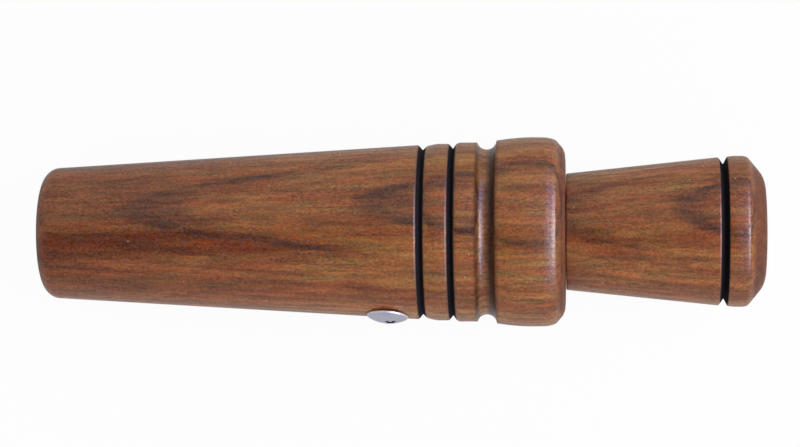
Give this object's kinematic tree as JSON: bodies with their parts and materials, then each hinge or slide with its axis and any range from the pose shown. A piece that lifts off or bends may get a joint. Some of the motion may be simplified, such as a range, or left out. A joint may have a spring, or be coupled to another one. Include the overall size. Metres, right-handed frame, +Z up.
{
  "type": "fox call",
  "caption": "Turned walnut fox call: long tapered barrel with beads, a cove and a bulb, a flared mouthpiece plugged in on O-rings, and a reed on a toneboard inside, kept by a side screw.",
  "frame": {"origin": "on the turning axis, halfway along the call, which is the centre of its bounding box", "axes": "+X along the turning axis from the barrel's bell end to the mouthpiece, +Z up as the call lies on its side, -Y towards the side with the retaining screw"},
  "size_m": [0.1444, 0.0378, 0.0378],
  "materials": {
    "walnut": "satin-gloss lacquer, oiled dark brown, with the turned grooves burned black",
    "black_rubber": "moulded",
    "black_acetal": "machined",
    "reed_brass": "rolled",
    "cork": "cut",
    "zinc_plate": "bright zinc"
  },
  "bodies": {
    "barrel": {"barrel": "walnut", "toneboard": "black_acetal", "reed_wedge": "cork", "retaining_screw": "zinc_plate"},
    "seals": {"reed_side_o_ring": "black_rubber", "lip_side_o_ring": "black_rubber"},
    "mouthpiece": {"mouthpiece": "walnut"},
    "reed": {"reed": "reed_brass"}
  },
  "joints": [
    {"name": "mouthpiece_pull", "type": "slide", "parent": "barrel", "child": "seals", "axis": [1, 0, 0], "range_m": [0, 0.022]},
    {"name": "mouthpiece_twist", "type": "hinge", "parent": "seals", "child": "mouthpiece", "pos_m": [0.03279, 0, 0], "axis": [1, 0, 0], "continuous": true},
    {"name": "reed_flex", "type": "hinge", "parent": "barrel", "child": "reed", "pos_m": [0.00624, 0.00026, 0.00099], "axis": [0, -0.9659, 0.2588], "range_deg": [-2.5, 2.5], "stiffness_Nm_per_rad": 0.2}
  ]
}
